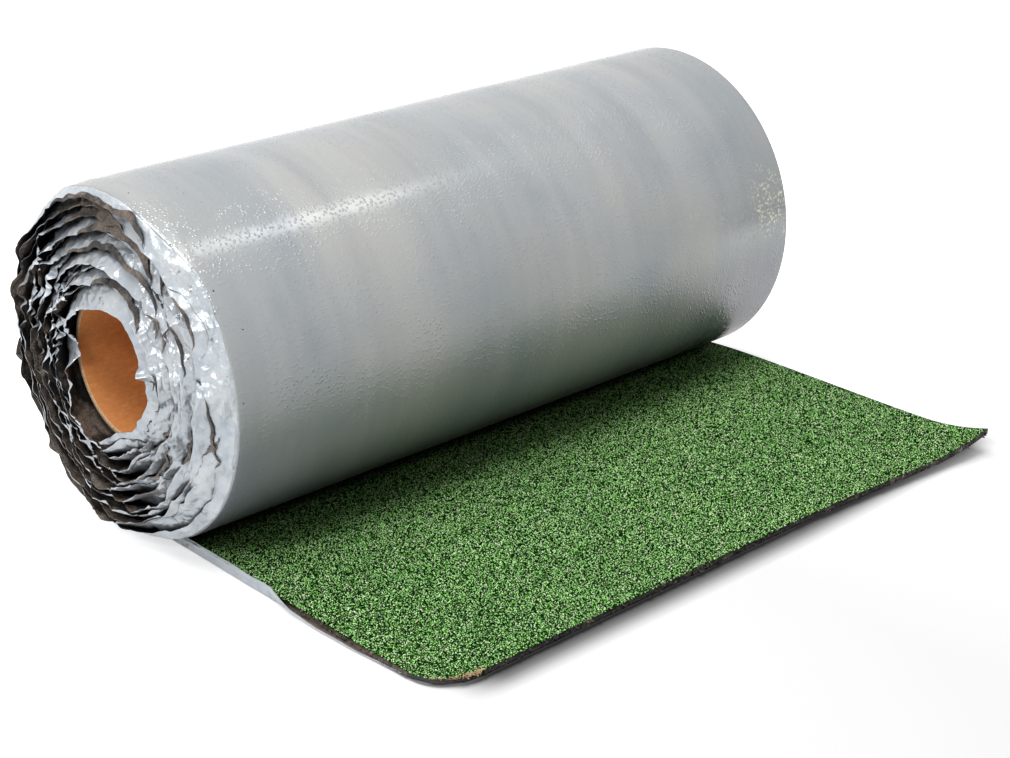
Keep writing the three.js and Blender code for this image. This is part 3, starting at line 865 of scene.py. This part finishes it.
def make_felt_turns():
    """The wound turns' ends: a spiral of the sheet's edge at each end of the roll."""
    angles = FULL_TURN + np.arange((TURNS - 1) * TURN_STEPS + 1) * FULL_TURN / TURN_STEPS
    outside = spiral_radius(angles) - FILM_STEP
    inside = outside - FELT_THICKNESS
    for name, side in (("felt_turns_far", 1), ("felt_turns_near", -1)):
        end = side * HALF_WIDTH - slide(angles)
        bevel = end - side * TURN_BEVEL
        back = end - side * TURN_DEPTH
        section = [(outside, back), (outside, bevel), (outside - TURN_BEVEL, end),
                   (inside + TURN_BEVEL, end), (inside, bevel), (inside, back)]
        rings = np.stack([on_roll(x, radius, angles) for radius, x in section], axis=1)
        index = np.arange(rings.size // 3).reshape(rings.shape[:2])
        after = np.roll(index, -1, axis=1)
        faces = quads(index[:-1], index[1:], after[1:], after[:-1])
        faces += [index[0].tolist(), index[-1, ::-1].tolist()]
        if side < 0:
            faces = [face[::-1] for face in faces]
        turns = add_mesh(name, rings, faces, [TAR])
        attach(turns, "root")


# ---- Granules and torn edges ----

GRAIN_SPACING = 1.2 * MM
GRAIN_SIZE = (0.42, 0.80)
GRAINS_FRONT = 0.302
GRAINS_BACK = 20 * MM
GRAIN_MARGIN = 0.4 * MM
BARE_SHARE = 0.06  # of the places for granules, how many are empty
BARE_PATCH = 1.7 * MM  # granules are also lost in patches of this size
PATCH_SHARE = 0.09


def chips(rng, places, sizes, stretch=(1, 1, 1)):
    """Four-cornered chips at those places, each turned its own way: points and faces."""
    corners = np.array([(1, 1, 1), (1, -1, -1), (-1, 1, -1), (-1, -1, 1)]) / math.sqrt(3)
    sides = np.array([(0, 1, 2), (0, 3, 1), (0, 2, 3), (1, 3, 2)])
    count = len(places)
    turn = rng.normal(size=(count, 4))
    turn /= np.linalg.norm(turn, axis=1)[:, None]
    w, a, b, c = turn.T
    rotation = np.stack([
        1 - 2 * (b * b + c * c), 2 * (a * b - c * w), 2 * (a * c + b * w),
        2 * (a * b + c * w), 1 - 2 * (a * a + c * c), 2 * (b * c - a * w),
        2 * (a * c - b * w), 2 * (b * c + a * w), 1 - 2 * (a * a + b * b)], axis=-1).reshape(-1, 3, 3)
    spread = sizes[:, None, None] * rng.uniform(0.75, 1.25, (count, 1, 3)) * np.array(stretch) * MM
    points = np.einsum("nij,nkj->nki", rotation, corners * spread) + places[:, None]
    faces = sides + 4 * np.arange(count)[:, None, None]
    return points, faces.reshape(-1, 3).tolist()


def give_own_cells(piece):
    """A texture map in which each face has a cell of its own."""
    mesh = piece.data
    across = math.ceil(math.sqrt(len(mesh.polygons)))
    corner = np.array([(0.15, 0.15), (0.85, 0.15), (0.15, 0.85)])
    cell = np.arange(len(mesh.polygons))
    where = np.stack([cell % across, cell // across], axis=1)
    places = (where[:, None] + corner) / across
    mesh.uv_layers.new(name="OFBake").data.foreach_set("uv", places.ravel())


def felt_top(x, y):
    return FILM_STEP + FELT_THICKNESS + tail_rise(x, y)


def make_grains():
    """Crushed mineral pressed into the loose end."""
    rng = np.random.default_rng(5)
    half = HALF_WIDTH - GRAIN_MARGIN
    shift = 0.35 * BARE_PATCH
    patches = (math.ceil(half / BARE_PATCH) + 2, math.ceil(GRAINS_FRONT / BARE_PATCH) + 2)
    for name, x_from, x_to in (("granules_near", -half, 0), ("granules_far", 0, half)):
        x, y = np.meshgrid(np.arange(x_from, x_to, GRAIN_SPACING),
                           np.arange(-GRAINS_FRONT, -GRAINS_BACK, GRAIN_SPACING))
        x, y = (v.ravel() + rng.uniform(-0.5, 0.5, v.size) * GRAIN_SPACING for v in (x, y))
        bare = rng.uniform(0, 1, len(x)) < BARE_SHARE
        lost = rng.uniform(0, 1, patches) < PATCH_SHARE
        column = ((x - x_from + shift * (1 + np.sin(900 * y))) / BARE_PATCH).astype(int)
        row = ((-y + shift * (1 + np.sin(800 * x))) / BARE_PATCH).astype(int)
        bare |= lost[column, row]
        kept = (y > tail_front(x) + 0.3 * MM) & (np.abs(x) < half) & ~bare
        x, y = x[kept], y[kept]
        places = np.stack([x, y, felt_top(x, y) + 0.1 * MM], axis=-1)
        points, faces = chips(rng, places, rng.uniform(*GRAIN_SIZE, len(x)))
        grains = add_mesh(name, points, faces, [GRAINS], shade_smooth=False)
        give_own_cells(grains)
        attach(grains, "root")


CRUMBS_FRONT = 2600
CRUMBS_NEAR = 420
CRUMBS_BACK = -150 * MM
FIBRES = 60
FIBRE_PLACE = -HALF_WIDTH + 24 * MM
PALE_CRUMBS = 150


def make_crumbs(rng):
    """Crumbs of bitumen along the cut edges of the loose end."""
    x = rng.uniform(-HALF_WIDTH + CORNER_RADIUS * 0.2, HALF_WIDTH, CRUMBS_FRONT)
    y = tail_front(x) + rng.uniform(-0.6, 0.5, len(x)) * MM
    side_y = rng.uniform(tail_front(-HALF_WIDTH), CRUMBS_BACK, CRUMBS_NEAR)
    side_x = -HALF_WIDTH + rng.uniform(-0.1, 0.4, len(side_y)) * MM
    x, y = np.concatenate([x, side_x]), np.concatenate([y, side_y])
    z = felt_top(x, y) - rng.uniform(0.1, 1, len(x)) * FELT_THICKNESS
    clump = 0.35 + 1.2 * knot_line(rng, np.arange(len(x)), 9) ** 2
    sizes = np.zeros(len(x))
    sizes[np.argsort(x - y)] = clump * rng.uniform(0.6, 1.3, len(x))
    points, faces = chips(rng, np.stack([x, y, z], axis=-1), sizes, (1.6, 1, 1))
    in_front = np.arange(len(faces)) < 4 * CRUMBS_FRONT
    crumbs = add_mesh("felt_crumbs", points, faces, [TAR, CUT], in_front, shade_smooth=False)
    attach(crumbs, "root")


def make_fibres(rng):
    """Pale fibres, and crumbs of their colour, at the near corner of the cut end."""
    x = np.concatenate([rng.normal(FIBRE_PLACE, 5 * MM, FIBRES),
                        rng.uniform(-HALF_WIDTH + 4 * MM, FIBRE_PLACE, PALE_CRUMBS)])
    y = tail_front(x) + rng.uniform(-0.5, 0.6, len(x)) * MM
    z = felt_top(x, y) - rng.uniform(-0.4, 0.25, len(x)) * FELT_THICKNESS
    stretch = np.repeat([(3.6, 0.28, 0.35), (0.7, 0.28, 0.35)], [FIBRES, PALE_CRUMBS], axis=0)
    points, faces = chips(rng, np.column_stack([x, y, z]), rng.uniform(0.5, 1, len(x)), stretch[:, None])
    points[:, :, 2] = np.maximum(points[:, :, 2], 0.3 * MM)
    fibres = add_mesh("felt_fibres", points, faces, [RIM], shade_smooth=False)
    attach(fibres, "root")


# ---- Stage, light and camera ----

CAMERA_PLACE = (-0.91690, -1.04172, 0.62785)
CAMERA_TARGET = (0.05568, -0.00835, 0.02187)
CAMERA_ROLL = 0.00865
FOCAL_PIXELS = 2084.8
FRAME_WIDTH = 1010
SENSOR_WIDTH = 36

# Name, place, target, size along X and Y of the lamp, and power.
LIGHTS = (("overhead", (-0.4, -0.1, 1.5), (-0.1, -0.05, 0.1), 1.1, 1.1, 17),
          ("strip", (0.72, -0.25, 1.5), (0.72, -0.25, 0), 0.45, 0.2, 0.9),
          ("front_fill", (-0.6, -0.75, 1.95), (0, 0, 0.1), 1.2, 0.6, 9),
          ("end_key", (-1.6, -0.3, 1.2), (-0.2, 0, 0.1), 0.4, 0.4, 8))

FLOOR_SIDE = 8.0
FLOOR_DROP = 0.2 * MM  # keeps it off the film's underside
FLOOR_COLOR = (0.8, 0.8, 0.8)
SHADE_START = (-TAIL_LENGTH, -TAIL_LENGTH + 6 * MM)  # under the flat and the raised part of the cut edge
SHADE_REACH = (0.021, 0.019)  # how far its shadow reaches at the near and the far corner
SHADE_BACK = 0.006
SHADE_MIDDLE = 0.022  # it fades out at these distances from the middle
SHADE_SIDES = (0.225, 0.268)
FLOOR_GLOW = (0.12, 0.85)  # in front of the loose end and far away
GLOW_CENTRE = (0.0, -0.42, 0)
GLOW_REACH = (0.27, 0.6)
FAR_SIDE = 0.5  # the floor glows up to this much more, as far out along X as that
FAR_SIDE_GLOW = 0.4
FRONT_DIM = (-0.55, -0.85)  # its glow falls off between these, well in front, to a share of
FRONT_GLOW = 0.4
AMBIENT = 0.16


def aim(made, place, target, roll=0):
    turn = (Vector(target) - Vector(place)).to_track_quat("-Z", "Y").to_matrix().to_4x4()
    made.matrix_world = Matrix.Translation(place) @ turn @ Matrix.Rotation(roll, 4, "Z")


def make_camera():
    camera = bpy.data.cameras.new("camera")
    camera.sensor_width = SENSOR_WIDTH
    camera.lens = FOCAL_PIXELS * SENSOR_WIDTH / FRAME_WIDTH
    camera.clip_start = 0.01
    bpy.context.scene.camera = add_object("camera", camera)
    aim(bpy.context.scene.camera, CAMERA_PLACE, CAMERA_TARGET, CAMERA_ROLL)


def seen_directly(tree):
    """1 for what the camera, mirrors and glass see, and 0 for the light that falls on the part."""
    path = tree.add("LightPath").outputs
    seen = tree.math("MAXIMUM", path["Is Camera Ray"], path["Is Glossy Ray"])
    return tree.math("MAXIMUM", seen, path["Is Transmission Ray"])


def contact_shade(tree, x, y):
    """1 on the open floor, falling to a deep shadow at the cut edge of the loose end."""
    cut = tree.remap(x, HALF_WIDTH - EDGE_REACH, HALF_WIDTH, *SHADE_START)
    reach = tree.remap(x, -HALF_WIDTH, HALF_WIDTH, *SHADE_REACH)
    share = tree.remap(tree.math("SUBTRACT", cut, y), -SHADE_BACK, reach)
    shade = tree.ramp(share, [
        (0, 1), (0.15, 0.14), (0.34, 0.17), (0.46, 0.26), (0.63, 0.5), (0.78, 0.74), (1, 1)])
    off_centre = tree.math("ABSOLUTE", tree.math("SUBTRACT", x, SHADE_MIDDLE))
    outside = tree.remap(off_centre, *SHADE_SIDES, shape="SMOOTHSTEP")
    return tree.mix(shade, WHITE, outside)


def floor_looks(tree, place):
    """A pale floor that keeps shadows, and glows for what sees it directly."""
    axes = tree.axes(place)
    shade = contact_shade(tree, axes["X"], axes["Y"])
    away = tree.distance(place, GLOW_CENTRE)
    growth = tree.remap(away, *GLOW_REACH, *FLOOR_GLOW, "SMOOTHSTEP")
    growth = tree.math("ADD", growth, tree.remap(axes["X"], 0, FAR_SIDE, 0, FAR_SIDE_GLOW))
    forward = tree.remap(axes["Y"], *FRONT_DIM, 1, FRONT_GLOW, "SMOOTHSTEP")
    strength = tree.math("MULTIPLY", tree.math("MULTIPLY", seen_directly(tree), forward), growth)
    glow = tree.add("Emission", {"Color": shade, "Strength": strength}).outputs["Emission"]
    both = tree.add("AddShader", {0: tree.nodes["Principled BSDF"].outputs["BSDF"], 1: glow})
    tree.feed(tree.nodes["Material Output"], {"Surface": both.outputs["Shader"]})
    return {"Base Color": tree.multiply(FLOOR_COLOR, shade), "Roughness": 0.9, "Specular IOR Level": 0.1}


def make_floor():
    half = FLOOR_SIDE / 2
    floor = add_mesh("floor", [(-half, -half, 0), (half, -half, 0), (half, half, 0), (-half, half, 0)],
                     [(0, 1, 2, 3)], [new_material("floor", floor_looks)], shade_smooth=False)
    floor.location.z = -FLOOR_DROP


def make_world():
    world = bpy.data.worlds.new("studio")
    bpy.context.scene.world = world
    world.use_nodes = True
    tree = Tree(world.node_tree)
    tree.nodes.clear()
    ambient, backdrop = (tree.add("Background", {"Color": WHITE, "Strength": strength})
                         .outputs["Background"] for strength in (AMBIENT, 1))
    mix = tree.add("MixShader", {"Fac": seen_directly(tree), 1: ambient, 2: backdrop})
    tree.add("OutputWorld", {"Surface": mix.outputs["Shader"]})


def make_lights():
    for name, place, target, size, size_y, power in LIGHTS:
        lamp = bpy.data.lights.new(name, "AREA")
        lamp.shape = "RECTANGLE"
        lamp.size, lamp.size_y = size, size_y
        lamp.energy = power
        aim(add_object(name, lamp), place, target)


make_camera()
make_floor()
make_world()
make_lights()
make_core()
make_film()
make_strip()
make_leaves()
make_felt_sheet()
make_felt_turns()
make_grains()
torn = np.random.default_rng(8)
make_crumbs(torn)
make_fibres(torn)

bpy.context.scene.view_settings.view_transform = "Standard"
